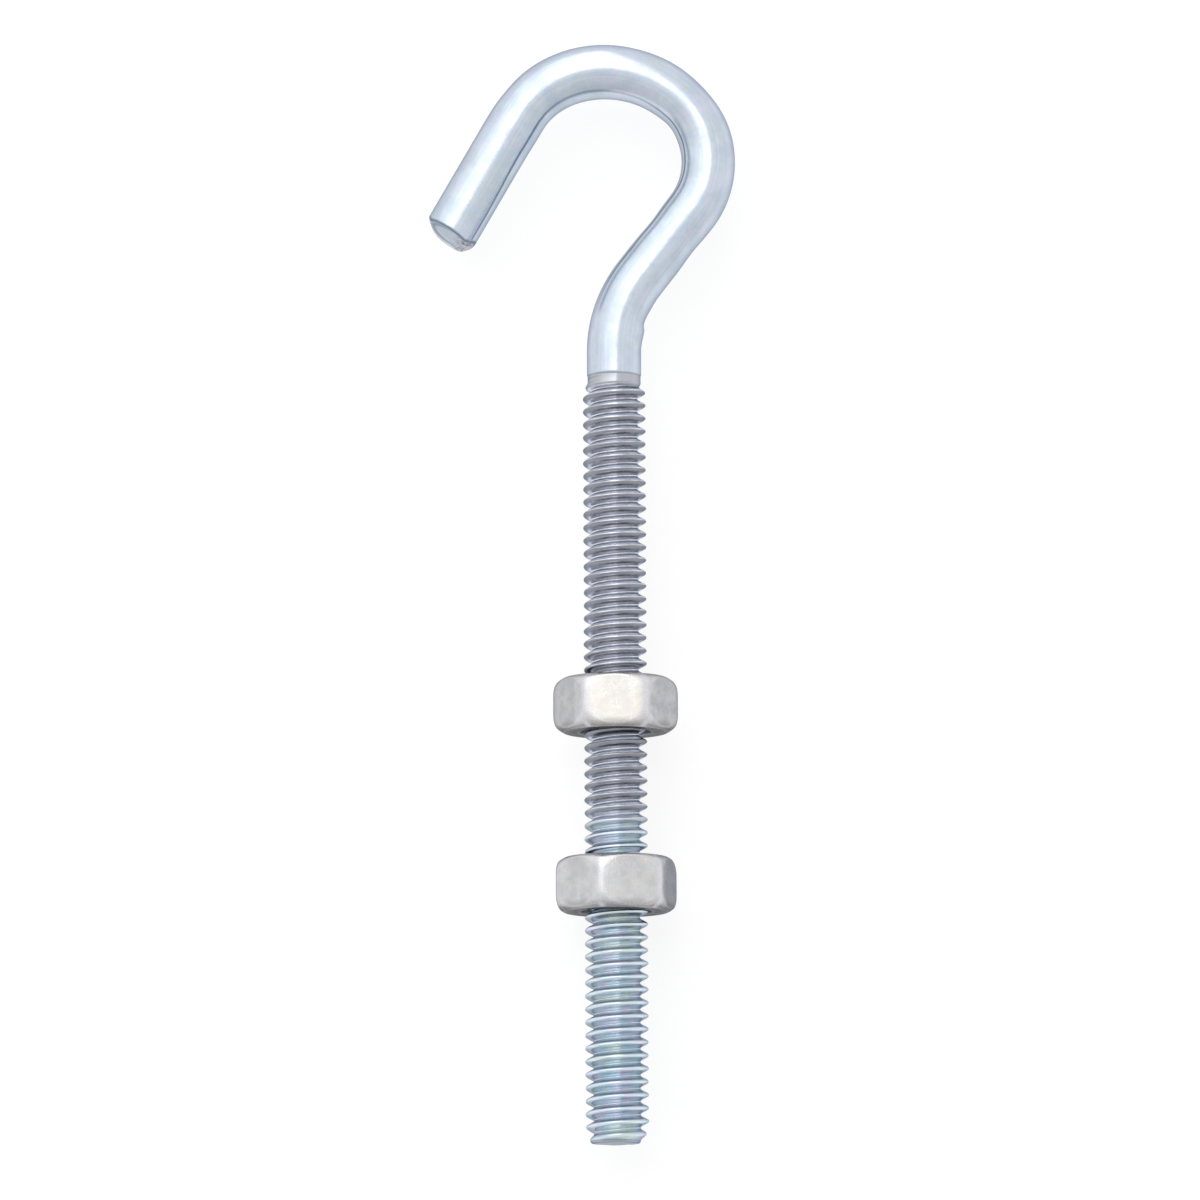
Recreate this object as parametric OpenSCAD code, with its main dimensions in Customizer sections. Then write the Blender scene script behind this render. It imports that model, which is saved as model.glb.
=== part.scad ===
// Hook bolt: one bent wire with a rolled thread, and two hex nuts run on it.
// The origin is on the shank's axis at the threaded end. +Y runs along the shank
// to the hook, +X points to the side that the neck leans to, and the hook is level.

/* [Wire] */
// Diameter of the plain wire
wire_d = 5.3; // [4.6:0.1:6]
// Length from the threaded end to the lower bend
shank_l = 77.4; // [77:0.1:100]

// How much the wire is drawn thinner where it is bent, on each side
bend_thinning = 0.02; // [0.01:0.01:0.05]

/* [Hook] */
// Radius of the lower bend, at the wire's centre
lower_bend_r = 12; // [8:0.1:20]
// Angle between the shank and the neck
neck_angle = 38; // [30:0.5:45]
// Straight length of the neck
neck_l = 8.2; // [6:0.1:14]
// Radius of the tight bend at the neck's side, at the wire's centre
shoulder_r = 8.2; // [6.5:0.1:11]
// Angle that the tight bend turns through
shoulder_angle = 87; // [80:0.5:95]
// Radius of the flatter crown, at the wire's centre
crown_r = 10.9; // [9:0.1:16]
// Angle that the crown turns through
crown_angle = 28; // [20:0.5:40]
// Straight stretch that the bending tool leaves between two bends
land_l = 0.3; // [0.2:0.1:1]
// Radius of the bend between the crown and the tip, at the wire's centre
brow_r = 9.9; // [8:0.1:14]
// Angle that this last bend turns through
brow_angle = 73; // [60:0.5:80]

/* [Tip] */
// Length of the tip's leg, up to the longest part of its sheared end
tip_l = 13.7; // [9:0.1:16]
// Lean of the sheared end, which faces a little upward
shear_slant = 8; // [0:1:20]
// Turn of the sheared end towards the outside of the hook
shear_skew = 5; // [0:1:15]
// Radius that the shear's blades press the end to, in the plane of the hook
tip_nose_r = 3.6; // [3:0.1:8]

/* [Thread] */
// Height of the rolled crests above the plain wire
thread_rise = 0.46; // [0.3:0.02:0.6]
// Length of the threaded part, its run-out included
thread_l = 75.2; // [60:0.1:76]
// Length over which the crests fade out at the plain wire
runout_l = 1.27; // [0.8:0.01:2.5]
// Length of the chamfer on the threaded end
end_chamfer_l = 1.2; // [0.6:0.1:2]
// Depth of the chamfer on the threaded end
end_chamfer = 0.6; // [0.2:0.05:0.8]

/* [Nuts] */
// Width across the flats
nut_across = 10.8; // [10:0.1:12]
// Width across the rounded corners
nut_corners = 12.2; // [11.8:0.1:13.8]
// Thickness
nut_t = 5.3; // [4:0.1:6.5]
// Angle of the chamfer on both faces
nut_chamfer_angle = 32; // [15:1:35]
// Diameter of the flat ring that the chamfer leaves, as a part of the width across
nut_ring = 0.93; // [0.85:0.01:0.98]
// Clearance between the crests and the nut, all round
thread_fit = 0.06; // [0.02:0.01:0.1]
// Depth of the countersink at each mouth of the hole
countersink = 0.4; // [0.2:0.05:0.8]
// Distance from the threaded end to the middle of the upper nut
upper_nut_y = 42.6; // [36:0.1:60]
// Distance from the threaded end to the middle of the lower nut
lower_nut_y = 25.1; // [10:0.1:30]
// Turn of the lower nut against the upper one
lower_nut_turn = 15; // [0:1:59]

/* [Hidden] */
$fn = 96;
thread_d = wire_d + 2*thread_rise;
nut_hole_d = thread_d + 2*thread_fit;
// How far each bend reaches into the straight run at either end of it
bend_lap = 0.1;
// How far a cut runs on past the face that it opens
past = 1;

// A straight run of wire along +Y, with the next run at its far end
module straight(length) {
    rotate([-90, 0, 0]) cylinder(d = wire_d, h = length);
    translate([0, length, 0]) children();
}

// A bend about the Z axis that starts at +X and ends at the given angle.
// Both ends reach a little way into the straight runs.
module bend(radius, angle) {
    lap = bend_lap/radius*180/PI;
    rotate(-lap) rotate_extrude(angle = angle + 2*lap) translate([radius, 0])
        circle(d = wire_d - 2*bend_thinning);
}

// A bend from +Y towards +X, with the next run at its far end
module bend_right(radius, angle) {
    translate([radius, 0, 0]) {
        rotate(180 - angle) bend(radius, angle);
        rotate(-angle) translate([-radius, 0, 0]) children();
    }
}

// A bend from +Y towards -X, with the next run at its far end
module bend_left(radius, angle) {
    translate([-radius, 0, 0]) {
        bend(radius, angle);
        rotate(angle) translate([radius, 0, 0]) children();
    }
}

// The tip's leg along +Y. The shear pressed its end to a blunt nose and left the face out of
// square both ways: it leans up and turns to the outside of the hook.
module tip_leg() {
    difference() {
        intersection() {
            rotate([-90, 0, 0]) cylinder(d = wire_d, h = tip_l);
            union() {
                translate([-wire_d, 0, -wire_d]) cube([2*wire_d, tip_l - tip_nose_r, 2*wire_d]);
                translate([0, tip_l - tip_nose_r, 0])
                    cylinder(r = tip_nose_r, h = 2*wire_d, center = true);
            }
        }
        translate([0, tip_l, -wire_d/2]) rotate([shear_slant, 0, -shear_skew])
            translate([-wire_d, 0, -wire_d]) cube([2*wire_d, wire_d, 3*wire_d]);
    }
}

// The rolled thread, standing proud of the wire: chamfered end, crests, run-out
module thread() {
    rotate([-90, 0, 0]) rotate_extrude() polygon([
        [0, 0],
        [thread_d/2 - end_chamfer, 0],
        [thread_d/2, end_chamfer_l],
        [thread_d/2, thread_l - runout_l],
        [wire_d/2, thread_l],
        [0, thread_l]
    ]);
}

module hook_bolt() color("lightsteelblue") {
    thread();
    translate([0, thread_l, 0]) straight(shank_l - thread_l)
        bend_right(lower_bend_r, neck_angle) straight(neck_l)
        bend_left(shoulder_r, shoulder_angle) straight(land_l)
        bend_left(crown_r, crown_angle) straight(land_l)
        bend_left(brow_r, brow_angle) tip_leg();
}

// A hex nut about the Y axis, its middle at the origin and two of its flats level
module nut() {
    ring_d = nut_across*nut_ring;
    corner_drop = (nut_corners - ring_d)/2*tan(nut_chamfer_angle);
    rotate([-90, 0, 0]) difference() {
        intersection() {
            cylinder(d = nut_across/cos(30), h = nut_t, center = true, $fn = 6);
            rotate_extrude() polygon([
                [0, -nut_t/2],
                [ring_d/2, -nut_t/2],
                [nut_corners/2, -nut_t/2 + corner_drop],
                [nut_corners/2, nut_t/2 - corner_drop],
                [ring_d/2, nut_t/2],
                [0, nut_t/2]
            ]);
        }
        cylinder(d = nut_hole_d, h = nut_t + 2*past, center = true);
        for (side = [0, 180]) rotate([side, 0, 0]) translate([0, 0, nut_t/2 - countersink])
            cylinder(d1 = nut_hole_d, d2 = nut_hole_d + 2*countersink, h = countersink);
    }
}

module upper_nut() color("gainsboro") translate([0, upper_nut_y, 0]) nut();

module lower_nut() color("silver") translate([0, lower_nut_y, 0]) rotate([0, lower_nut_turn, 0]) nut();

hook_bolt();
upper_nut();
lower_nut();
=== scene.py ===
import math

import bmesh
import bpy
from mathutils import Matrix, Vector, noise


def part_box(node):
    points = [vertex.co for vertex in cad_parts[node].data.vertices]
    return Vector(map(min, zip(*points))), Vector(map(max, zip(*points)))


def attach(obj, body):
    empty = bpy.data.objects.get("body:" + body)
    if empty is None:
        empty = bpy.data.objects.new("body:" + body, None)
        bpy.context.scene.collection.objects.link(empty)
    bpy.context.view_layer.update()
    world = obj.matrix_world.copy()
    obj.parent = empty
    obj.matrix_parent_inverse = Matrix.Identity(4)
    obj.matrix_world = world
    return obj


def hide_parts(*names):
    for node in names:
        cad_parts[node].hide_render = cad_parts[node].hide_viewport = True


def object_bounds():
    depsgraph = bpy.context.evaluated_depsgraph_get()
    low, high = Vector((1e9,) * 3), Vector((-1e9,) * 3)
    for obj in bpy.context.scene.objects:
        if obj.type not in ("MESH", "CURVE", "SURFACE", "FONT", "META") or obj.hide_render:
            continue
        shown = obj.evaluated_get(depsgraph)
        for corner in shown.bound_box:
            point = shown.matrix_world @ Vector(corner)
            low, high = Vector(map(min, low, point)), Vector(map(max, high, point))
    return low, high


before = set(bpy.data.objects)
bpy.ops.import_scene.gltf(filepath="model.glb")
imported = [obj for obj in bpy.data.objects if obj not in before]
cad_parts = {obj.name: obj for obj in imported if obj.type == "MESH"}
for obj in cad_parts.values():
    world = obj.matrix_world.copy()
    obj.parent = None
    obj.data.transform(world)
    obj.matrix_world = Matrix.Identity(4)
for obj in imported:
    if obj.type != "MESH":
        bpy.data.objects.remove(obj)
cad_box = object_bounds()

# Hook bolt
# One length of steel wire. Its shank is rolled with a right-hand thread of 20 turns to the inch,
# the rest is bent cold to an open hook and cropped at the tip, and then it is all zinc plated.
mm = 0.001
inch = 25.4*mm
wire_r = 2.65*mm
crest_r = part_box("hook_bolt")[1].z
root_r = 2.26*mm
pitch = inch/20
first_crest = 0.52
crest_fullness = 0.06
crest_flattened, crest_uneven, crest_split = 0.012*mm, 0.02*mm, 0.06*mm
uneven_l, split_l = 2.2*mm, 0.9*mm
thread_l = 75.2*mm
runout_l = 2.0*mm
runout_end = thread_l - 0.65*mm
shoulder_step = 0.06*mm
shoulder_low, shoulder_high = thread_l - 0.25*mm, thread_l - 0.05*mm
end_rise_l = 2.2*mm
end_crest_r = 2.6*mm
end_round_l = 0.3*mm
wire_sides = 72
thread_steps = 18
thread_spare = 0.03*mm


def smooth(low, high, value):
    """0 below low, 1 above high, and an even rise between them."""
    share = min(max((value - low)/(high - low), 0.0), 1.0)
    return share*share*(3 - 2*share)


def between(low, full, fading, high, value):
    """1 from full to fading, 0 below low and above high, and an even rise and fall between."""
    return smooth(low, full, value)*(1 - smooth(fading, high, value))


def bump_at(place, width, value):
    """A smooth swelling of height 1 about a place."""
    return math.exp(-((value - place)/width)**2)


def thread_depth(turn):
    """How far the rolled form stands above the root, from 0 to 1, at a part of a turn."""
    wave = 0.5 + 0.5*math.cos(math.tau*turn)
    return wave + crest_fullness*math.sin(math.tau*turn)**2


def thread_radius(angle, height):
    """The bolt's radius at an angle round the shank, the turns of thread up to there, and how
    fully its form is rolled."""
    turns = height/pitch - angle/math.tau - first_crest
    depth = min(1.0, thread_depth(turns))
    around = Vector((math.sin(angle), math.cos(angle), 0.0))
    wander = noise.noise(around*1.6 + Vector((0, 0, height/uneven_l)))
    split = noise.noise(around*2.5 + Vector((7.0, 0, height/split_l)))
    top = crest_r - crest_flattened - crest_uneven*(1 + wander)
    top -= max(0.0, split)*crest_split*smooth(0.9, 1.0, depth)
    top = min(top, end_crest_r + (crest_r - end_crest_r)*smooth(0, end_rise_l, height))
    radius = root_r + (top - root_r)*depth
    formed = 1 - smooth(thread_l - runout_l, runout_end, height)
    plain_r = wire_r - shoulder_step*(1 - smooth(shoulder_low, shoulder_high, height))
    return plain_r + (radius - plain_r)*formed, turns, formed


def thread_columns(sides, low, high, spare):
    """Heights of the thread form's points in each of the columns that run up the shank, none of
    them closer to either end than spare."""
    columns = []
    for side in range(sides):
        start = pitch*(side/sides + first_crest)
        heights = []
        turn = math.floor((low - start)/pitch)
        while start + turn*pitch < high:
            for step in range(thread_steps):
                height = start + (turn + step/thread_steps)*pitch
                if low + spare < height < high - spare:
                    heights.append(height)
            turn += 1
        columns.append(heights)
    return columns


def skin_between(mesh, left, right, gap=1e-7):
    """Faces between two neighbouring columns of (height, vertex), square where heights agree."""
    i, j = 0, 0
    while i + 1 < len(left) or j + 1 < len(right):
        up_left = left[i + 1][0] if i + 1 < len(left) else math.inf
        up_right = right[j + 1][0] if j + 1 < len(right) else math.inf
        here_left, here_right = left[i][1], right[j][1]
        if abs(up_left - up_right) < gap:
            mesh.faces.new((here_left, here_right, right[j + 1][1], left[i + 1][1]))
            i, j = i + 1, j + 1
        elif up_left < up_right:
            mesh.faces.new((here_left, here_right, left[i + 1][1]))
            i += 1
        else:
            mesh.faces.new((here_left, here_right, right[j + 1][1]))
            j += 1


def skin_thread(mesh, columns, side):
    """Faces between a column up the thread and the next one, lined up along the helix."""
    after = (side + 1) % len(columns)
    drops = (pitch*side/len(columns), pitch*(side + 1)/len(columns))
    keyed = []
    for column, drop in zip((columns[side], columns[after]), drops):
        inner = [(height - drop, vertex) for height, vertex in column[1:-1]]
        keyed.append([(-1.0, column[0][1])] + inner + [(1.0, column[-1][1])])
    skin_between(mesh, *keyed)


def skin_rings(mesh, rings):
    """Square faces between rings that have as many corners, one after the other."""
    for low, high in zip(rings, rings[1:]):
        for side in range(len(low)):
            after = (side + 1) % len(low)
            mesh.faces.new((low[side], low[after], high[after], high[side]))


def close_ring(mesh, ring, middle, outward_last=True):
    """A fan of faces from a ring to the vertex in its middle."""
    for side in range(len(ring)):
        after = (side + 1) % len(ring)
        corners = (ring[side], ring[after], middle)
        mesh.faces.new(corners if outward_last else corners[::-1])


# How the wire runs on from the thread: (length, degrees turned towards +X). Where it is kinked,
# drawn thin, spread or pinched is measured along it from the threaded end.
shank_rest = 77.4*mm - thread_l
lower_bend_r, neck_angle, neck_l = 12*mm, 38, 8.2*mm
shoulder_r, shoulder_angle = 8.2*mm, 87
crown_r, crown_angle = 10.9*mm, 28
brow_r, brow_angle = 9.9*mm, 73
land_l, tip_l = 0.3*mm, 13.7*mm
wire_runs = [
    (shank_rest, 0),
    (lower_bend_r*math.radians(neck_angle), neck_angle), (neck_l, 0),
    (shoulder_r*math.radians(shoulder_angle), -shoulder_angle), (land_l, 0),
    (crown_r*math.radians(crown_angle), -crown_angle), (land_l, 0),
    (brow_r*math.radians(brow_angle), -brow_angle), (tip_l, 0),
]
kink_at = 80.2*mm
kink_rise, kink_drop, kink_return = 0.10*mm, 0.22*mm, 0.12*mm
kink_rises, kink_drops, kink_returns = (-2.8*mm, -0.3*mm), (-0.35*mm, 0.9*mm), (0.9*mm, 3.2*mm)
bend_thinning = 0.03*mm
thinned_along = (79*mm, 84*mm, 122*mm, 126*mm)
# Where the bending tool spread or pinched the wire: (place along it, length, how much wider)
both_sides = [(90.5*mm, 1.6*mm, -0.10*mm), (104.8*mm, 2.0*mm, -0.11*mm)]
left_side = [(115*mm, 4*mm, 0.12*mm), (124.5*mm, 1.8*mm, 0.08*mm)]
right_side = [(123*mm, 1.5*mm, -0.09*mm)]
tip_nose_r = 3.6*mm
shear_slant = math.radians(8)
shear_skew = math.radians(5)
tip_edge = 0.12*mm


def wire_path(step):
    """(distance from the threaded end, point, heading) along the middle of the bent wire."""
    distance, heading, point = thread_l, 0.0, Vector((0, thread_l, 0))
    path = [(distance, point.copy(), heading)]
    for length, turned in wire_runs:
        count = max(1, round(length/step))
        bit, turn = length/count, math.radians(turned)/count
        for _ in range(count):
            chord = bit*math.sin(turn/2)/(turn/2) if turn else bit
            middle = heading + turn/2
            point = point + chord*Vector((math.sin(middle), math.cos(middle), 0))
            heading += turn
            distance += bit
            path.append((distance, point.copy(), heading))
    return path


def swelling(marks, distance):
    """How much wider the wire is at a distance along it, from its marks on one side or both."""
    return sum(wider*bump_at(place, length, distance) for place, length, wider in marks)


def wire_half_width(distance, side):
    """Half the wire's width in the hook's plane; side is -1 on its left and 1 on its right, where
    the lower bend has a kink."""
    half = wire_r + swelling(both_sides, distance) - bend_thinning*between(*thinned_along, distance)
    if side < 0:
        return half + swelling(left_side, distance)
    past = distance - kink_at
    if past < 0:
        half += kink_rise*smooth(*kink_rises, past)
    else:
        half += kink_rise - kink_drop*smooth(*kink_drops, past)
        half += kink_return*smooth(*kink_returns, past)
    return half + swelling(right_side, distance)


def wire_point(point, heading, across, up):
    """The place beside a point of the path, across to the right of travel and up."""
    side = Vector((math.cos(heading), -math.sin(heading), 0))
    return point + side*across + Vector((0, 0, up))


def mark(vertex, layers, angle, along, turns=0.0, formed=0.0, sheared=0.0, dirt=0.0):
    """Keeps what the finish needs at a vertex: its place on the unrolled wire, how far it is a
    crest and how far it leans to the threaded end, how far it is a cut face, and its dirt."""
    grain, crest, lean, cut, soil = layers
    vertex[grain] = Vector((math.sin(angle)*wire_r, math.cos(angle)*wire_r, along))
    vertex[crest] = formed*math.cos(math.tau*turns)
    vertex[lean] = -formed*math.sin(math.tau*turns)
    vertex[cut] = sheared
    vertex[soil] = dirt


def add_wire_ring(mesh, layers, distance, point, heading):
    """A ring of vertices round the wire, wider or thinner only in the hook's plane."""
    ring = []
    for side in range(wire_sides):
        angle = math.tau*side/wire_sides
        across = math.sin(angle)
        half = wire_half_width(distance, -1 if across < 0 else 1)
        half = wire_r + (half - wire_r)*across*across
        place = wire_point(point, heading, half*across, wire_r*math.cos(angle))
        ring.append(mesh.verts.new(place))
        mark(ring[-1], layers, angle, distance)
    return ring


def tip_setback(across, up):
    """How far the sheared face stands back from the tip's end, beside and above its middle."""
    nose = tip_nose_r - math.sqrt(tip_nose_r**2 - across**2)
    face = (up + wire_r)*math.tan(shear_slant) + across*math.tan(shear_skew)
    soft = tip_edge/2
    return soft*math.log(math.exp(nose/soft) + math.exp(face/soft))


bolt_mesh = bmesh.new()
bolt_layers = (
    bolt_mesh.verts.layers.float_vector.new("grain"),
    bolt_mesh.verts.layers.float.new("crest"),
    bolt_mesh.verts.layers.float.new("lean"),
    bolt_mesh.verts.layers.float.new("sheared"),
    bolt_mesh.verts.layers.float.new("dirt"),
)

# The threaded part, with dirt under its shoulder, at the cropped rim and in the last grooves
shoulder_dirt, shoulder_dirt_at = 0.5, (74.85*mm, 74.97*mm, 75.0*mm, 75.15*mm)
rim_dirt, rim_dirt_end = 0.6, 0.42*mm
groove_dirt, groove_dirt_fades = 0.6, (74.6*mm, 74.9*mm)
groove_at, groove_width = 0.5, 0.1
columns = []
for side, heights in enumerate(thread_columns(wire_sides, end_round_l, thread_l, thread_spare)):
    angle = math.tau*side/wire_sides
    column = []
    for height in [end_round_l] + heights + [thread_l]:
        radius, turns, formed = thread_radius(angle, height)
        spot = bolt_mesh.verts.new((radius*math.sin(angle), height, radius*math.cos(angle)))
        shoulder = shoulder_dirt*between(*shoulder_dirt_at, height)
        rim = rim_dirt*(1 - smooth(end_round_l, rim_dirt_end, height))
        groove = groove_dirt*bump_at(groove_at, groove_width, turns % 1)*smooth(0.1, 0.5, 1 - formed)
        groove *= 1 - smooth(*groove_dirt_fades, height)
        mark(spot, bolt_layers, angle, height, turns, formed, dirt=max(shoulder, rim, groove))
        column.append((height, spot))
    columns.append(column)
for side in range(wire_sides):
    skin_thread(bolt_mesh, columns, side)

# The threaded end is cropped, its rim rounded over and its face a little uneven. Its rings are
# given as (share of the radius, height of the face).
end_face = [(0.985, 0.16*mm), (0.93, 0.06*mm), (0.8, 0.02*mm), (0.55, 0.0), (0.25, 0.0)]
end_roughness, end_middle_y = 0.12*mm, 0.02*mm
end_face_cut, end_rim_cut, end_rim_share = 0.6, 0.2, 0.95
end_rim_dirt, end_rim_dirt_at = 0.8, (0.85, 0.93, 0.95, 0.99)
end_rings = [[column[0][1] for column in columns]]
for share, height in end_face:
    ring = []
    for side, spot in enumerate(end_rings[0]):
        angle = math.tau*side/wire_sides
        radius = share*math.hypot(spot.co.x, spot.co.z)
        waver = noise.noise(Vector((2*math.sin(angle), 2*math.cos(angle), 4*share)))
        rough = end_roughness*(0.5 + 0.5*waver)
        place = (radius*math.sin(angle), height + rough, radius*math.cos(angle))
        ring.append(bolt_mesh.verts.new(place))
        mark(
            ring[-1], bolt_layers, angle, height,
            sheared=end_face_cut if share < end_rim_share else end_rim_cut,
            dirt=end_rim_dirt*between(*end_rim_dirt_at, share),
        )
    end_rings.append(ring)
skin_rings(bolt_mesh, end_rings[::-1])
end_middle = bolt_mesh.verts.new((0, end_middle_y, 0))
mark(end_middle, bolt_layers, 0, 0, sheared=end_face_cut)
close_ring(bolt_mesh, end_rings[-1], end_middle, outward_last=False)

# The plain wire, from the thread's shoulder to just before the tip
wire_step, tip_clear = 0.4*mm, 2.2*mm
wire = wire_path(wire_step)
wire_end, wire_end_point, tip_heading = wire[-1]
wire_rings = [[column[-1][1] for column in columns]]
for distance, point, heading in wire[1:]:
    if distance < wire_end - tip_clear:
        wire_rings.append(add_wire_ring(bolt_mesh, bolt_layers, distance, point, heading))

# The tip is sheared: its end pressed to a blunt nose, its face out of square with a raised rim,
# burnished round the outside and torn in a patch, with a burr, towards the inside of the hook.
# The face's rings are given as (share of the wire's radius, millimetres back from the face).
tip_face = [
    (1.0, 0.6), (1.0, 0.3), (0.999, 0.12), (0.985, 0.05), (0.96, 0.02), (0.93, 0.0),
    (0.88, 0.03), (0.83, 0.09), (0.76, 0.11), (0.68, 0.11), (0.6, 0.1), (0.52, 0.08),
    (0.43, 0.1), (0.34, 0.11), (0.25, 0.11), (0.16, 0.11), (0.08, 0.11),
]
tip_dish = 0.11*mm
burr_l, torn_l, grit_l = 0.3*mm, 0.2*mm, 0.12*mm
torn_grain, grit_grain = 0.5*mm, 0.16*mm
# Where they lie: how far to the inside of the hook, how high, and at what share of the radius
torn_side, torn_edge = (0.4*mm, 1.5*mm), (0.86, 0.97)
burr_side, burr_top = (0.2*mm, 1.6*mm), (-1.2*mm, 0.9*mm)
tip_rim_edge, tip_rim_back, tip_rim_up = (0.9, 0.97), (0.05, 0.3), (-0.4, 0.5)
oval_at, oval_width, oval_side = 0.7, 0.09, (-0.5, 0.4)
# How dirty the rim is low down and higher up, the oval, the torn patch and its grit, and how far
# the burnished face and the torn patch count as a fresh cut
rim_low_dirt, rim_more_dirt, oval_dirt, torn_dirt, grit_dirt = 0.35, 0.5, 0.6, 0.15, 1.5
burnished_cut, torn_more_cut, cut_edge = 0.45, 0.55, (0.9, 0.99)
tip_forward = Vector((math.sin(tip_heading), math.cos(tip_heading), 0))
for share, back in tip_face:
    ring = []
    for side in range(wire_sides):
        angle = math.tau*side/wire_sides
        across, up = share*math.sin(angle)*wire_r, share*math.cos(angle)*wire_r
        torn = smooth(*torn_side, -across)*(1 - smooth(*torn_edge, share))
        ragged = noise.noise(Vector((across/torn_grain, up/torn_grain, 3.0)))
        grit = noise.noise(Vector((across/grit_grain, up/grit_grain, 9.0)))
        reach = wire_end - tip_setback(across, up) - back*mm
        burr = smooth(*burr_side, -across)*(1 - smooth(*burr_top, up))
        reach += burr_l*burr + torn*(torn_l*ragged + grit_l*grit)
        centre = wire_end_point + tip_forward*(min(reach, wire_end) - wire_end)
        ring.append(bolt_mesh.verts.new(wire_point(centre, tip_heading, across, up)))
        rim = smooth(*tip_rim_edge, share)*(1 - smooth(*tip_rim_back, back))
        rim *= rim_low_dirt + rim_more_dirt*smooth(*tip_rim_up, up/wire_r)
        oval = oval_dirt*bump_at(oval_at, oval_width, share)*smooth(*oval_side, across/wire_r)
        mark(
            ring[-1], bolt_layers, angle, reach,
            sheared=(1 - smooth(*cut_edge, share))*(burnished_cut + torn_more_cut*torn),
            dirt=max(rim + oval, torn*(torn_dirt + grit_dirt*abs(grit))),
        )
    wire_rings.append(ring)
skin_rings(bolt_mesh, wire_rings)
tip_middle = bolt_mesh.verts.new(wire_end_point - tip_forward*(tip_setback(0, 0) + tip_dish))
mark(tip_middle, bolt_layers, 0, wire_end, sheared=burnished_cut)
close_ring(bolt_mesh, wire_rings[-1], tip_middle)


def made_piece(name, mesh, skin_name):
    """The finished mesh as a smooth object in the scene, its faces all turned outwards."""
    bmesh.ops.recalc_face_normals(mesh, faces=mesh.faces)
    for face in mesh.faces:
        face.smooth = True
    data = bpy.data.meshes.new(skin_name)
    mesh.to_mesh(data)
    mesh.free()
    piece = bpy.data.objects.new(name, data)
    bpy.context.scene.collection.objects.link(piece)
    return piece


bolt = made_piece("zinc_hook_bolt", bolt_mesh, "hook_bolt_skin")


def new_group(name, inputs, outputs):
    """A shader node group with named sockets, and its two end nodes."""
    group = bpy.data.node_groups.new(name, "ShaderNodeTree")
    for label, kind, value in inputs:
        socket = group.interface.new_socket(label, in_out="INPUT", socket_type=kind)
        if value is not None:
            socket.default_value = value
    for label, kind in outputs:
        group.interface.new_socket(label, in_out="OUTPUT", socket_type=kind)
    return group, group.nodes.new("NodeGroupInput"), group.nodes.new("NodeGroupOutput")


def feed(tree, socket, value):
    """Links a socket given as a value, and sets any other value."""
    if isinstance(value, bpy.types.NodeSocket):
        tree.links.new(value, socket)
    else:
        socket.default_value = value


def add_node(tree, kind, settings=None, **values):
    """A node with its settings and the values of its sockets; a socket given as a value is linked."""
    node = tree.nodes.new(kind)
    for name, value in (settings or {}).items():
        setattr(node, name, value)
    for name, value in values.items():
        label = name.replace("_", " ")
        found = [s for s in node.inputs if s.name.lower() == label.lower() and s.enabled]
        feed(tree, found[0], value)
    return node


def math_node(tree, operation, first, second=0.0):
    """The result of one operation on two numbers or sockets."""
    node = tree.nodes.new("ShaderNodeMath")
    node.operation = operation
    feed(tree, node.inputs[0], first)
    feed(tree, node.inputs[1], second)
    return node.outputs[0]


def mix_colour(tree, factor, first, second, blend="MIX"):
    """The first colour, with the second mixed in by the factor."""
    node = tree.nodes.new("ShaderNodeMix")
    node.data_type = "RGBA"
    node.blend_type = blend
    feed(tree, node.inputs[0], factor)
    feed(tree, node.inputs[6], first)
    feed(tree, node.inputs[7], second)
    return node.outputs[2]


def map_range(tree, value, low, high, to_low=0.0, to_high=1.0):
    """An even rise or fall from to_low to to_high, as the value goes from low to high."""
    return add_node(
        tree, "ShaderNodeMapRange", {"interpolation_type": "SMOOTHSTEP"}, Value=value,
        From_Min=low, From_Max=high, To_Min=to_low, To_Max=to_high,
    ).outputs["Result"]


def fill_ramp(ramp, stops):
    """Sets a colour ramp's stops from pairs of a place and a colour."""
    while len(ramp.color_ramp.elements) < len(stops):
        ramp.color_ramp.elements.new(0.5)
    for element, (place, colour) in zip(ramp.color_ramp.elements, stops):
        element.position = place
        element.color = colour


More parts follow.
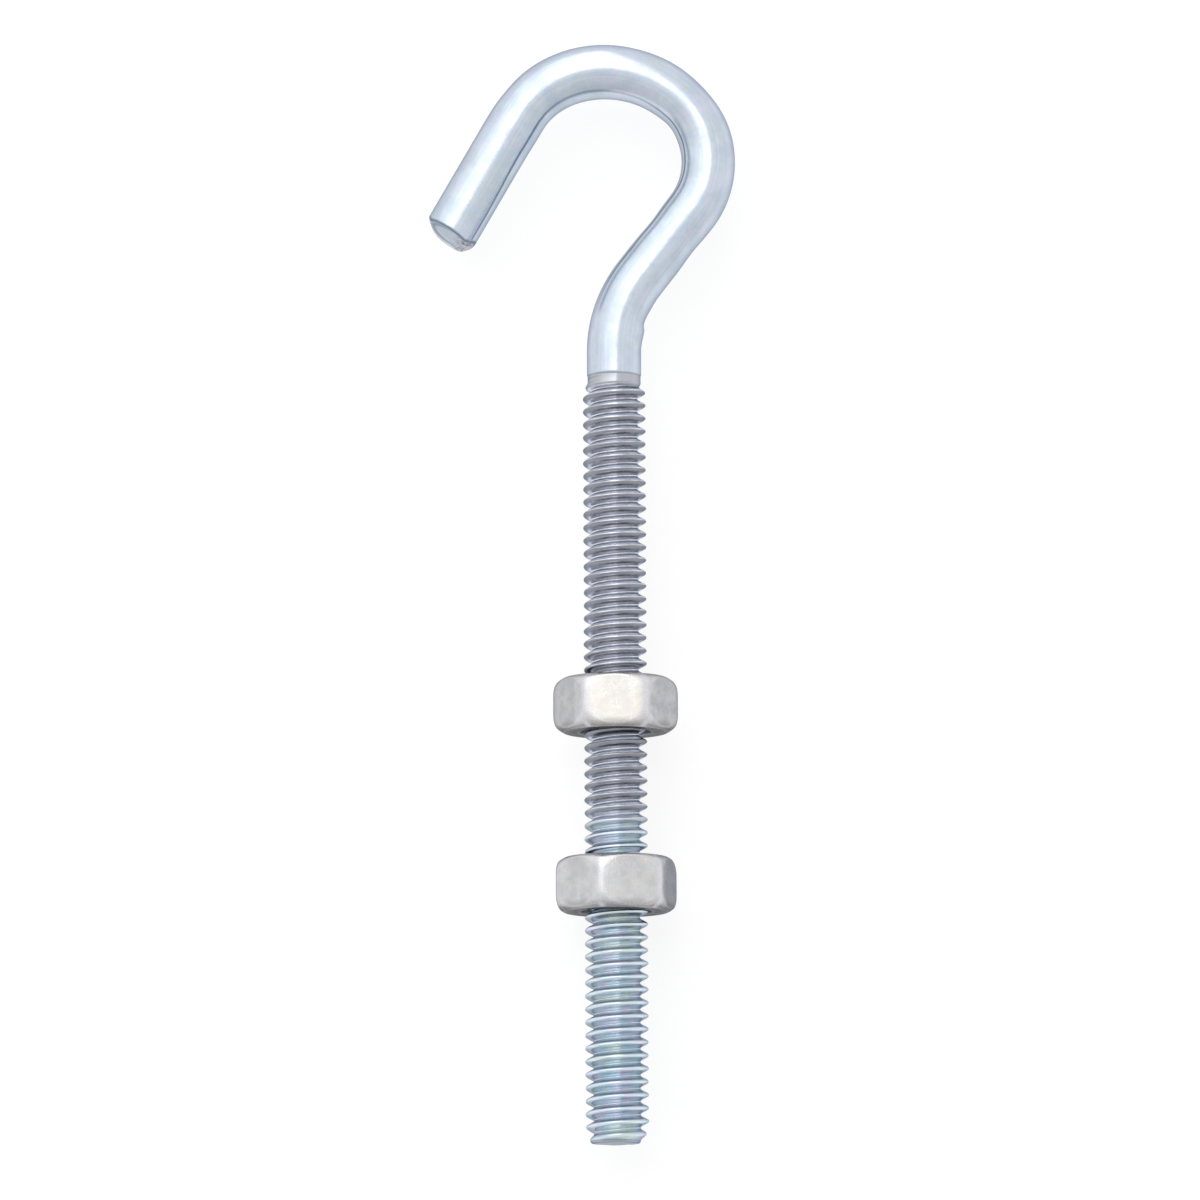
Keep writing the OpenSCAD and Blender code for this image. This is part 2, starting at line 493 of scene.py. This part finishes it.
def make_plating_group():
    """Zinc plating: cloudy tone, fine crystals and faint streaks along the drawn wire."""
    group, source, target = new_group(
        "zinc_plating",
        [
            ("Place", "NodeSocketVector", None), ("Bright", "NodeSocketColor", (0.66, 0.70, 0.76, 1)),
            ("Dull", "NodeSocketColor", (0.56, 0.60, 0.68, 1)), ("Streaks", "NodeSocketFloat", 0.5),
            ("Smooth", "NodeSocketFloat", 0.2), ("Rough", "NodeSocketFloat", 0.34),
        ],
        [("Color", "NodeSocketColor"), ("Roughness", "NodeSocketFloat"), ("Height", "NodeSocketFloat")],
    )
    place = source.outputs["Place"]
    clouds = add_node(group, "ShaderNodeTexNoise", Vector=place, Scale=420.0, Detail=4.0, Roughness=0.6)
    crystals = add_node(group, "ShaderNodeTexNoise", Vector=place, Scale=5200.0, Detail=3.0, Roughness=0.7)
    stretch = add_node(
        group, "ShaderNodeMapping", {"vector_type": "POINT"}, Vector=place, Scale=(3200.0, 3200.0, 130.0)
    )
    streaks = add_node(
        group, "ShaderNodeTexNoise", Vector=stretch.outputs[0], Scale=1.0, Detail=5.0, Roughness=0.65
    )
    cloud = map_range(group, clouds.outputs[0], 0.32, 0.7)
    streak = map_range(group, streaks.outputs[0], 0.3, 0.72)
    lines = math_node(group, "MULTIPLY", streak, source.outputs["Streaks"])
    tone = math_node(group, "ADD", math_node(group, "MULTIPLY", cloud, 0.6), lines)
    tone = math_node(group, "ADD", tone, math_node(group, "MULTIPLY", crystals.outputs[0], 0.35))
    tone = map_range(group, tone, 0.1, 1.1)
    colour = mix_colour(group, tone, source.outputs["Bright"], source.outputs["Dull"])
    spread = math_node(group, "SUBTRACT", source.outputs["Rough"], source.outputs["Smooth"])
    rough = math_node(group, "ADD", source.outputs["Smooth"], math_node(group, "MULTIPLY", spread, tone))
    ridges = math_node(group, "MULTIPLY", streaks.outputs[0], 0.6)
    height = math_node(group, "ADD", ridges, crystals.outputs[0])
    group.links.new(colour, target.inputs["Color"])
    group.links.new(rough, target.inputs["Roughness"])
    group.links.new(height, target.inputs["Height"])
    return group


def make_film_group():
    """The clear chromate film over the zinc, which tints it faintly blue, green and violet."""
    group, source, target = new_group(
        "chromate_film",
        [
            ("Place", "NodeSocketVector", None), ("Color", "NodeSocketColor", (1, 1, 1, 1)),
            ("Strength", "NodeSocketFloat", 0.3),
        ],
        [("Color", "NodeSocketColor")],
    )
    stretch = add_node(
        group, "ShaderNodeMapping", {"vector_type": "POINT"}, Vector=source.outputs["Place"],
        Scale=(260.0, 260.0, 420.0),
    )
    bands = add_node(
        group, "ShaderNodeTexNoise", Vector=stretch.outputs[0], Scale=1.0, Detail=2.0, Roughness=0.5
    )
    ramp = group.nodes.new("ShaderNodeValToRGB")
    ramp.color_ramp.interpolation = "EASE"
    fill_ramp(ramp, [
        (0.28, (0.80, 0.92, 1.0, 1)), (0.40, (0.92, 0.92, 1.0, 1)), (0.50, (0.83, 0.95, 1.0, 1)),
        (0.62, (0.92, 1.0, 0.95, 1)), (0.74, (0.82, 0.87, 1.0, 1)),
    ])
    group.links.new(bands.outputs[0], ramp.inputs[0])
    strength, colour = source.outputs["Strength"], source.outputs["Color"]
    tinted = mix_colour(group, strength, colour, ramp.outputs[0], "MULTIPLY")
    group.links.new(tinted, target.inputs["Color"])
    return group


plating = make_plating_group()
film = make_film_group()


def new_finish(name):
    """A bare material: its tree and the shader that the sections fill in."""
    material = bpy.data.materials.new(name)
    material.use_nodes = True
    tree = material.node_tree
    return material, tree, tree.nodes["Principled BSDF"]


def place_group(tree, group, **values):
    """A node group put into a material, with its own values."""
    node = tree.nodes.new("ShaderNodeGroup")
    node.node_tree = group
    for name, value in values.items():
        feed(tree, node.inputs[name], value)
    return node


def painted(tree, layer, output="Fac"):
    """What the mesh keeps at its vertices in a layer."""
    return add_node(tree, "ShaderNodeAttribute", {"attribute_name": layer}).outputs[output]


band_waver = 0.14
runout_tone = (0.54, 0.54, 0.54, 1)


def flank_painted_light(tree, grain, crest, lean, bands):
    """Painted highlights and shade round each turn of the thread, from bands given as (part of a turn
    down from the crest, tone), a little wavy, and an even tone where the thread runs out."""
    around = math_node(tree, "DIVIDE", math_node(tree, "ARCTAN2", lean, crest), math.tau)
    waver = add_node(tree, "ShaderNodeTexNoise", Vector=grain, Scale=900.0, Detail=3.0).outputs[0]
    shifted = math_node(tree, "ADD", around, math_node(tree, "MULTIPLY", waver, band_waver))
    part = math_node(tree, "FRACT", math_node(tree, "ADD", shifted, 1 - band_waver/2))
    ramp = tree.nodes.new("ShaderNodeValToRGB")
    fill_ramp(ramp, [(place, (tone, tone, tone, 1)) for place, tone in bands])
    tree.links.new(part, ramp.inputs[0])
    crest_part = math_node(tree, "MULTIPLY", crest, crest)
    formed = math_node(tree, "ADD", crest_part, math_node(tree, "MULTIPLY", lean, lean))
    return mix_colour(tree, map_range(tree, formed, 0.0, 0.5), runout_tone, ramp.outputs[0])


# Painted highlights and shade on the thread: the upper part is dry, with a painted bright band on each
# flank, and the lower part is filmed, with its crests and roots painted the brighter
dry_highlight_bands = [
    (0.0, 0.36), (0.05, 0.34), (0.20, 0.37), (0.26, 0.52), (0.31, 1.0), (0.46, 1.0),
    (0.50, 0.74), (0.54, 0.44), (0.59, 0.29), (0.67, 0.28), (0.72, 0.66), (0.76, 1.0),
    (0.89, 1.0), (0.94, 0.74), (1.0, 0.36),
]
filmed_highlight_bands = [
    (0.0, 1.0), (0.07, 1.0), (0.13, 0.78), (0.22, 0.72), (0.36, 0.66), (0.45, 0.68), (0.52, 0.82),
    (0.6, 1.0), (0.66, 0.92), (0.74, 0.78), (0.8, 0.66), (0.88, 0.66), (0.95, 0.8), (1.0, 1.0),
]


# The painted dark reflection line along the inside of the hook: its half width, how far round from the
# wire's top it runs on the hook and how far it drifts on the leg, and where along the wire it starts,
# fades, comes back and ends
line_full, line_gone = math.radians(1.2), math.radians(4.6)
line_before, line_after, line_drift = math.radians(59), math.radians(51), math.radians(7)
line_starts, line_fades = (79*mm, 86*mm), (103*mm, 111*mm)
line_returns, line_ends = (118*mm, 125*mm), (136.5*mm, 138*mm)


def painted_dark_reflection_line(tree, grain, along):
    """A painted dark reflection, as a line along the inside of the hook, from 0 to 1."""
    parts = add_node(tree, "ShaderNodeSeparateXYZ", Vector=grain).outputs
    around = math_node(tree, "ARCTAN2", parts["X"], parts["Y"])
    waver = add_node(
        tree, "ShaderNodeTexNoise", {"noise_dimensions": "1D"}, W=along, Scale=260.0, Detail=2.0
    )
    drift = map_range(tree, along, 104*mm, 122*mm, line_before, line_after)
    drift = math_node(tree, "ADD", drift, map_range(tree, along, 126*mm, 137*mm, 0.0, line_drift))
    drift = math_node(tree, "ADD", drift, math_node(tree, "MULTIPLY", waver.outputs[0], 0.05))
    off = math_node(tree, "ABSOLUTE", math_node(tree, "ADD", around, drift))
    line = map_range(tree, off, line_full, line_gone, 1.0, 0.0)
    start = map_range(tree, along, *line_starts)
    crown = map_range(tree, along, *line_fades, 1.0, 0.4)
    leg = map_range(tree, along, *line_returns, 0.0, 0.5)
    end = map_range(tree, along, *line_ends, 1.0, 0.3)
    strength = math_node(tree, "MULTIPLY", start, math_node(tree, "ADD", crown, leg))
    return math_node(tree, "MULTIPLY", math_node(tree, "MULTIPLY", line, strength), end)


# The wire's colours, plain and threaded, and where along it its finish changes
wire_bright, wire_dull = (0.665, 0.70, 0.775, 1), (0.56, 0.61, 0.69, 1)
thread_bright, thread_dull = (0.67, 0.72, 0.77, 1), (0.60, 0.65, 0.705, 1)
filmed_tint, dry_tint = (0.90, 0.93, 0.975, 1), (0.905, 0.92, 1.0, 1)
# The colour of the cut ends, and the dark colour of the dirt and of the painted dark reflection line
cut_zinc, dirt_and_dark_reflection_zinc = (0.86, 0.86, 0.90, 1), (0.12, 0.16, 0.22, 1)
thread_ends, dry_from = (74.7*mm, 75.1*mm), (29.5*mm, 33*mm)
film_thins, film_thickest = (26*mm, 46*mm), (8*mm, 16*mm)
wire_bump = 0.04*mm


def make_wire_finish():
    """Bright zinc, filmed towards the threaded end, with painted highlights and shade on the thread's
    flanks, rougher on the crests and the cut ends, pale where it is cut, dark where it is dirty, and with
    a painted dark reflection line along the inside of the hook."""
    material, tree, shader = new_finish("bright_zinc_wire")
    grain = painted(tree, "grain", "Vector")
    crest = painted(tree, "crest")
    lean = painted(tree, "lean")
    sheared = painted(tree, "sheared")
    along = add_node(tree, "ShaderNodeSeparateXYZ", Vector=grain).outputs["Z"]
    threaded = map_range(tree, along, *thread_ends, 1.0, 0.0)
    upper = math_node(tree, "MULTIPLY", threaded, map_range(tree, along, *dry_from))
    zinc = place_group(
        tree, plating, Place=grain, Streaks=0.45, Smooth=0.18, Rough=0.27,
        Bright=mix_colour(tree, threaded, wire_bright, thread_bright),
        Dull=mix_colour(tree, threaded, wire_dull, thread_dull),
    )
    # Painted highlights and shade on the flanks of the lower, filmed part of the thread
    filmed = flank_painted_light(tree, grain, crest, lean, filmed_highlight_bands)
    filmed = mix_colour(tree, 1.0, filmed_tint, filmed, "MULTIPLY")
    filmed = mix_colour(tree, 0.12, filmed, zinc.outputs["Color"], "MULTIPLY")
    colour = mix_colour(tree, threaded, zinc.outputs["Color"], filmed)
    thin_film = map_range(tree, along, *film_thins, 0.8, 0.45)
    strength = math_node(tree, "ADD", thin_film, map_range(tree, along, *film_thickest, 0.2, 0.0))
    colour = place_group(tree, film, Place=grain, Color=colour, Strength=strength).outputs["Color"]
    # Painted highlights and shade on the flanks of the upper, dry part of the thread
    dry = flank_painted_light(tree, grain, crest, lean, dry_highlight_bands)
    dry = mix_colour(tree, 1.0, dry_tint, dry, "MULTIPLY")
    dry = mix_colour(tree, 0.1, dry, zinc.outputs["Color"], "MULTIPLY")
    colour = mix_colour(tree, upper, colour, dry)
    colour = mix_colour(tree, math_node(tree, "MULTIPLY", sheared, 0.9), colour, cut_zinc)
    # The painted dark reflection line, darkened in the same colour as the dirt
    line = math_node(tree, "MULTIPLY", painted_dark_reflection_line(tree, grain, along), 0.85)
    dirt = math_node(tree, "MAXIMUM", line, painted(tree, "dirt"))
    colour = mix_colour(tree, dirt, colour, dirt_and_dark_reflection_zinc)
    worn = math_node(tree, "MULTIPLY", map_range(tree, crest, 0.75, 1.0), threaded)
    worn = math_node(tree, "MULTIPLY", worn, 0.12)
    dulled = math_node(tree, "ADD", worn, math_node(tree, "MULTIPLY", sheared, 0.2))
    rough = math_node(tree, "ADD", zinc.outputs["Roughness"], dulled)
    grit = add_node(tree, "ShaderNodeTexNoise", Vector=grain, Scale=9000.0, Detail=4.0).outputs[0]
    grit = math_node(tree, "MULTIPLY", math_node(tree, "MULTIPLY", grit, sheared), 3.0)
    height = math_node(tree, "ADD", zinc.outputs["Height"], grit)
    bump = add_node(tree, "ShaderNodeBump", Height=height, Strength=0.14, Distance=wire_bump)
    tree.links.new(colour, shader.inputs["Base Color"])
    tree.links.new(rough, shader.inputs["Roughness"])
    tree.links.new(bump.outputs[0], shader.inputs["Normal"])
    shader.inputs["Metallic"].default_value = 1.0
    shader.inputs["Specular Tint"].default_value = (0.46, 0.50, 0.56, 1)
    return material


bolt.data.materials.append(make_wire_finish())
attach(bolt, "bolt")
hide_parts("hook_bolt")

# Nuts
# Two hexagon nuts of cold-formed steel, zinc plated to a duller satin grey than the wire.
# Each is chamfered on both faces, countersunk at both mouths and tapped to run on the bolt.
nut_across = 10.8*mm
nut_corner_r = 6.1*mm
nut_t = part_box("upper_nut")[1].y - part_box("upper_nut")[0].y
nut_ring_r = 0.93*nut_across/2
nut_chamfer = math.tan(math.radians(32))
nut_edge_r = 0.16*mm
nut_corner_fall = 0.35*mm
nut_corner_wear = 0.95*mm
least_chamfer, least_slope = 0.05*mm, 0.1*mm
# How much rubbed wear and painted highlight lie along the nut's edges, and at their ends
edge_wear_highlight, edge_ends_wear_highlight = 0.6, 0.25
nut_minor_r = 2.58*mm
nut_major_r = 3.2*mm
nut_mouth_r = 3.5*mm
nut_sides = 144
flank_gap = 0.09


def hexagon_radius(angle):
    """Half the nut's width at an angle from the middle of a flat, its corners rounded off."""
    turned = (angle + math.pi/6) % (math.pi/3) - math.pi/6
    flat = nut_across/2/math.cos(turned)
    rounded = nut_corner_r - nut_corner_fall*(math.pi/6 - abs(turned))**2
    sharp = 40
    return (flat**-sharp + rounded**-sharp)**(-1/sharp)


def rounded_corner(before, corner, after, reach, steps=6, most=0.45):
    """Points that round off the corner between two straight edges of a section, as far as reach
    but over no more than a part of either edge."""
    start = corner + (before - corner).normalized()*min(reach, (before - corner).length*most)
    end = corner + (after - corner).normalized()*min(reach, (after - corner).length*most)
    points = []
    for step in range(steps + 1):
        share = step/steps
        points.append(start*(1 - share)**2 + corner*2*share*(1 - share) + end*share*share)
    return points


# Parts of the way over each face and over the flat at which a section has points
face_parts = (0.12, 0.28, 0.45)


def nut_section(outer):
    """The nut's outside from one mouth of its hole to the other, as (radius, height) and how much
    of an edge it is there. The corners of the hexagon are worn rounder than the flats."""
    drop = max(least_chamfer, (outer - nut_ring_r)*nut_chamfer)
    half = nut_t/2
    mouth = half - (nut_mouth_r - nut_major_r)
    ring = min(nut_ring_r, outer - least_slope)
    corners = [
        Vector((nut_major_r, -mouth)), Vector((nut_mouth_r, -half)), Vector((ring, -half)),
        Vector((outer, -half + drop)), Vector((outer, half - drop)),
        Vector((ring, half)), Vector((nut_mouth_r, half)), Vector((nut_major_r, mouth)),
    ]
    points = [(corners[0], 0.0)]
    worn_r = nut_edge_r + nut_corner_wear*smooth(nut_across/2 + 0.05*mm, nut_corner_r, outer)
    reaches = (nut_edge_r, nut_edge_r, worn_r, worn_r, nut_edge_r, nut_edge_r)
    for turn, reach in enumerate(reaches):
        before, corner, after = corners[turn:turn + 3]
        bend = rounded_corner(before, corner, after, reach)
        for place, spot in enumerate(bend):
            inside = 0 < place < len(bend) - 1
            points.append((spot, edge_wear_highlight if inside else edge_ends_wear_highlight))
        if turn % 2 == 0:
            points += [(bend[-1] + (after - bend[-1])*share, 0.0) for share in face_parts]
    points.append((corners[-1], 0.0))
    return points


# A section's point halfway round the edge between its ring and its chamfer
ring_edge = 14
# The painted shade on the chamfers and faces: where it starts and is full from each face, and how strong
# it is on the face towards the hook's end
nut_end_from, nut_end_full = nut_t/2 - 0.75*mm, nut_t/2 - 0.3*mm
hook_end_painted_shade = 0.35
# Where the painted shadow in the countersunk mouths of the bore fades out
mouth_from, mouth_to = nut_mouth_r - 0.15*mm, nut_mouth_r + 0.1*mm
mouth_ease = 0.5*mm
bore_spare = 0.04*mm
warm_fades = 0.12
# Where the upright corners of the hexagon begin to carry rubbed wear and painted highlight
corner_wear_highlight = (0.75, 1.0)


def build_nut(name, node, body, turn, flats):
    """A tapped hexagon nut in the place of its solid, its thread in step with the bolt's. flats
    gives how warm the plating is on each side, from the top one towards +X."""
    low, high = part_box(node)
    middle = (low.y + high.y)/2
    mesh = bmesh.new()
    edge_layer = mesh.verts.layers.float.new("edge")
    warm_layer = mesh.verts.layers.float.new("warm")
    end_layer = mesh.verts.layers.float.new("end")
    bore_layer = mesh.verts.layers.float.new("bore")
    grain_layer = mesh.verts.layers.float_vector.new("grain")

    def warmth(facing):
        flat = (facing/(math.pi/3) + 0.5) % 6
        return flats[int(flat)]*smooth(0.0, warm_fades, min(flat % 1, 1 - flat % 1))

    def spot(angle, radius, height, edge):
        vertex = mesh.verts.new((radius*math.sin(angle), middle + height, radius*math.cos(angle)))
        vertex[edge_layer] = edge
        vertex[warm_layer] = warmth(angle - turn)
        shade = 1 if height < 0 else hook_end_painted_shade
        vertex[end_layer] = smooth(nut_end_from, nut_end_full, abs(height))*shade
        # How far into a countersunk mouth the vertex lies, for the painted shadow there
        vertex[bore_layer] = 1 - smooth(mouth_from, mouth_to, radius)
        vertex[grain_layer] = Vector((radius*math.sin(angle), radius*math.cos(angle), height))
        return vertex

    outside, bores = [], []
    start = -nut_t/2 + (nut_mouth_r - nut_major_r)
    heights = thread_columns(nut_sides, middle + start, middle - start, bore_spare)
    for side in range(nut_sides):
        angle = math.tau*side/nut_sides
        facing = angle - turn
        off_flat = abs(((facing + math.pi/6) % (math.pi/3))/(math.pi/6) - 1)
        corner = smooth(*corner_wear_highlight, off_flat)
        section = nut_section(hexagon_radius(facing))
        column = []
        for place, (point, edge) in enumerate(section):
            upright = 1.0 if ring_edge < place < len(section) - ring_edge else 0.0
            column.append(spot(angle, point.x, point.y, max(edge, upright*corner)))
        outside.append(column)
        bore = [(middle + start, column[0])]
        for height in heights[side]:
            depth = thread_depth(height/pitch - angle/math.tau - first_crest)
            radius = nut_minor_r + (nut_major_r - nut_minor_r)*min(1.0, depth + flank_gap)
            ease = smooth(start, start + mouth_ease, height - middle)
            ease *= smooth(start, start + mouth_ease, middle - height)
            radius = nut_major_r + (radius - nut_major_r)*ease
            bore.append((height, spot(angle, radius, height - middle, 0.0)))
        bore.append((middle - start, column[-1]))
        bores.append(bore)
    for side in range(nut_sides):
        after = (side + 1) % nut_sides
        skin_between(mesh, list(enumerate(outside[side])), list(enumerate(outside[after])))
        skin_thread(mesh, bores, side)
    nut = made_piece(name, mesh, name)
    nut.data.materials.append(nut_finish)
    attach(nut, body)
    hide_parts(node)


satin_bright, satin_dull = (0.62, 0.615, 0.64, 1), (0.45, 0.45, 0.475, 1)
# The nuts' cream tint, and the colour of the painted shade on their chamfers and faces
cream, end_painted_shade = (0.76, 0.71, 0.66, 1), (0.50, 0.495, 0.47, 1)
# The colour of the rubbed edges, partly a painted highlight, and the colour of the painted shadow in the
# bore
rubbed_zinc_highlight, bore_painted_shadow = (0.76, 0.75, 0.78, 1), (0.10, 0.12, 0.15, 1)
nut_cloud_scale = 2.3
nut_bump = 0.06*mm


def make_nut_finish():
    """Satin zinc on the nuts: each flat its own tint, cloudy, with painted shade on the chamfers and
    faces, a painted shadow in the mouths of the bore, and edges lighter where they are rubbed and painted
    with a highlight."""
    material, tree, shader = new_finish("satin_zinc_nut")
    edge = painted(tree, "edge")
    place = add_node(
        tree, "ShaderNodeVectorMath", {"operation": "SCALE"},
        Vector=painted(tree, "grain", "Vector"), Scale=nut_cloud_scale,
    ).outputs[0]
    zinc = place_group(
        tree, plating, Place=place, Bright=satin_bright, Dull=satin_dull,
        Streaks=0.1, Smooth=0.25, Rough=0.42,
    )
    creamy = math_node(tree, "MULTIPLY", painted(tree, "warm"), 0.95)
    colour = mix_colour(tree, creamy, zinc.outputs["Color"], cream)
    colour = place_group(tree, film, Place=place, Color=colour, Strength=0.4).outputs["Color"]
    # Painted shade on the chamfers and faces, strongest on the side towards the threaded end
    dulled = mix_colour(tree, 1.0, colour, end_painted_shade, "MULTIPLY")
    colour = mix_colour(tree, painted(tree, "end"), colour, dulled)
    ridges = map_range(tree, zinc.outputs["Height"], 0.55, 0.85, 0.2, 0.8)
    # Edges lighter where they are rubbed, partly as a painted highlight
    rubbed_and_highlit = math_node(tree, "MULTIPLY", edge, ridges)
    colour = mix_colour(tree, rubbed_and_highlit, colour, rubbed_zinc_highlight)
    # Painted shadow in the countersunk mouths of the bore
    bore_shadow = math_node(tree, "MULTIPLY", painted(tree, "bore"), 0.8)
    colour = mix_colour(tree, bore_shadow, colour, bore_painted_shadow)
    smoothed = math_node(tree, "MULTIPLY", edge, 0.1)
    rough = math_node(tree, "SUBTRACT", zinc.outputs["Roughness"], smoothed)
    bump = add_node(
        tree, "ShaderNodeBump", Height=zinc.outputs["Height"], Strength=0.3, Distance=nut_bump
    )
    tree.links.new(colour, shader.inputs["Base Color"])
    tree.links.new(rough, shader.inputs["Roughness"])
    tree.links.new(bump.outputs[0], shader.inputs["Normal"])
    shader.inputs["Metallic"].default_value = 1.0
    shader.inputs["Specular Tint"].default_value = (0.3, 0.3, 0.33, 1)
    return material


nut_finish = make_nut_finish()
lower_nut_turn = math.radians(15)
upper_flats, lower_flats = (1.0, 0.15, 0.5, 0.3, 0.6, 0.25), (0.4, -0.5, 0.3, 0.5, 0.2, 0.3)
build_nut("zinc_upper_nut", "upper_nut", "upper_nut", 0.0, upper_flats)
build_nut("zinc_lower_nut", "lower_nut", "lower_nut", lower_nut_turn, lower_flats)

# Studio floor
# A pale sheet that the bolt lies on, wide enough for every view. It keeps the bolt's shadow.
floor_size = 6.0
floor_z = cad_box[0].z
floor_data = bpy.data.meshes.new("studio_floor")
reach = floor_size/2
floor_data.from_pydata(
    [
        (-reach, -reach, floor_z), (reach, -reach, floor_z),
        (reach, reach, floor_z), (-reach, reach, floor_z),
    ],
    [], [(0, 1, 2, 3)],
)
floor = bpy.data.objects.new("studio_floor", floor_data)
bpy.context.scene.collection.objects.link(floor)


def seen_rays(tree):
    """1 for rays that look at the backdrop straight, in a gloss or through glass."""
    path = tree.nodes.new("ShaderNodeLightPath")
    seen = math_node(tree, "MAXIMUM", path.outputs["Is Camera Ray"], path.outputs["Is Glossy Ray"])
    return math_node(tree, "MAXIMUM", seen, path.outputs["Is Transmission Ray"])


floor_paint = bpy.data.materials.new("pale_paper")
floor_paint.use_nodes = True
tree = floor_paint.node_tree
tree.nodes.clear()
paper = add_node(tree, "ShaderNodeBsdfDiffuse", Color=(0.8, 0.8, 0.8, 1))
shaded = add_node(tree, "ShaderNodeBsdfDiffuse", Color=(0.25, 0.25, 0.25, 1))
glow = add_node(tree, "ShaderNodeEmission", Color=(1, 1, 1, 1), Strength=0.82)
lit = tree.nodes.new("ShaderNodeAddShader")
tree.links.new(shaded.outputs[0], lit.inputs[0])
tree.links.new(glow.outputs[0], lit.inputs[1])
choose = tree.nodes.new("ShaderNodeMixShader")
tree.links.new(seen_rays(tree), choose.inputs[0])
tree.links.new(paper.outputs[0], choose.inputs[1])
tree.links.new(lit.outputs[0], choose.inputs[2])
tree.links.new(choose.outputs[0], tree.nodes.new("ShaderNodeOutputMaterial").inputs[0])
floor.data.materials.append(floor_paint)

# Studio light
# A white room. A curved soft box stands over the hook's side, bright along its near edge and
# fading towards the horizon, and a grey card curves down beyond the threaded end.
world = bpy.data.worlds.new("white_room")
bpy.context.scene.world = world
world.use_nodes = True
tree = world.node_tree
tree.nodes.clear()
room_light = add_node(tree, "ShaderNodeBackground", Color=(1, 1, 1, 1), Strength=0.6)
room_seen = add_node(tree, "ShaderNodeBackground", Color=(1, 1, 1, 1), Strength=1.0)
choose = tree.nodes.new("ShaderNodeMixShader")
tree.links.new(seen_rays(tree), choose.inputs[0])
tree.links.new(room_light.outputs[0], choose.inputs[1])
tree.links.new(room_seen.outputs[0], choose.inputs[2])
tree.links.new(choose.outputs[0], tree.nodes.new("ShaderNodeOutputWorld").inputs[0])

studio_middle = Vector((0, 54*mm, floor_z))
studio_radius = 1.4


def curved_card(name, sides, ends, glow, parts=36):
    """A glowing card on a sphere round the bolt. Degrees from the vertical: sides towards +X,
    ends towards +Y. glow gives its strength at a part of the way along each."""
    mesh = bmesh.new()
    shine = mesh.verts.layers.float.new("shine")
    rows = []
    for row in range(parts + 1):
        lean = math.radians(ends[0] + (ends[1] - ends[0])*row/parts)
        line = []
        for column in range(parts + 1):
            turn = math.radians(sides[0] + (sides[1] - sides[0])*column/parts)
            way = Vector((math.sin(turn)*math.cos(lean), math.sin(lean), math.cos(turn)*math.cos(lean)))
            corner = mesh.verts.new(studio_middle + studio_radius*way)
            corner[shine] = glow(column/parts, row/parts)
            line.append(corner)
        rows.append(line)
    for low, high in zip(rows, rows[1:]):
        for column in range(parts):
            mesh.faces.new((low[column], low[column + 1], high[column + 1], high[column]))
    data = bpy.data.meshes.new(name)
    mesh.to_mesh(data)
    mesh.free()
    card = bpy.data.objects.new(name, data)
    bpy.context.scene.collection.objects.link(card)
    paint = bpy.data.materials.new(name)
    paint.use_nodes = True
    tree = paint.node_tree
    tree.nodes.clear()
    strength = add_node(tree, "ShaderNodeAttribute", {"attribute_name": "shine"}).outputs["Fac"]
    light = add_node(tree, "ShaderNodeEmission", Color=(1, 1, 1, 1), Strength=strength)
    tree.links.new(light.outputs[0], tree.nodes.new("ShaderNodeOutputMaterial").inputs[0])
    data.materials.append(paint)
    card.visible_camera = False
    card.visible_shadow = False
    return card


near_edge_glow, hook_end_glow = 1.15, 0.25
card_glow_above, card_fading = 0.94, 0.3


def box_glow(side, end):
    """1 at the horizon, brighter towards the near edge and a little brighter at the hook's end."""
    near_edge = near_edge_glow*side**1.4*(1 - 0.1*smooth(0.6, 1.1, end))
    return 1.0 + near_edge + hook_end_glow*smooth(0.2, 0.75, end)


def card_glow(side, end):
    """Paler above, darker towards the horizon."""
    return card_glow_above - card_fading*end


curved_card("soft_box", (-90, 11), (6, 88), box_glow)
grey_card = curved_card("grey_card", (-89, 89), (-5, -88), card_glow)
grey_card.visible_diffuse = False

# Camera
# Above the middle of the bolt and a little towards its threaded end, with a long lens.
camera_elevation = math.radians(81.8)
camera_distance = 0.75
camera_roll = math.radians(0.24)
looks_at = Vector((-1.464*mm, 52.97*mm, 0))
photo_width, focal_pixels, sensor = 1200, 7713.2, 36.0
camera_data = bpy.data.cameras.new("camera")
camera_data.sensor_width = sensor
camera_data.lens = sensor*focal_pixels/photo_width
camera = bpy.data.objects.new("camera", camera_data)
bpy.context.scene.collection.objects.link(camera)
back = Vector((0, -math.cos(camera_elevation), math.sin(camera_elevation)))
level_right = Vector((1, 0, 0))
level_up = back.cross(level_right)
right = level_right*math.cos(camera_roll) - level_up*math.sin(camera_roll)
up = level_right*math.sin(camera_roll) + level_up*math.cos(camera_roll)
turned = Matrix((right, up, back)).transposed().to_4x4()
camera.matrix_world = Matrix.Translation(looks_at + back*camera_distance) @ turned
camera_data.clip_start, camera_data.clip_end = 0.01, 50.0
bpy.context.scene.camera = camera
bpy.context.scene.view_settings.view_transform = "Standard"
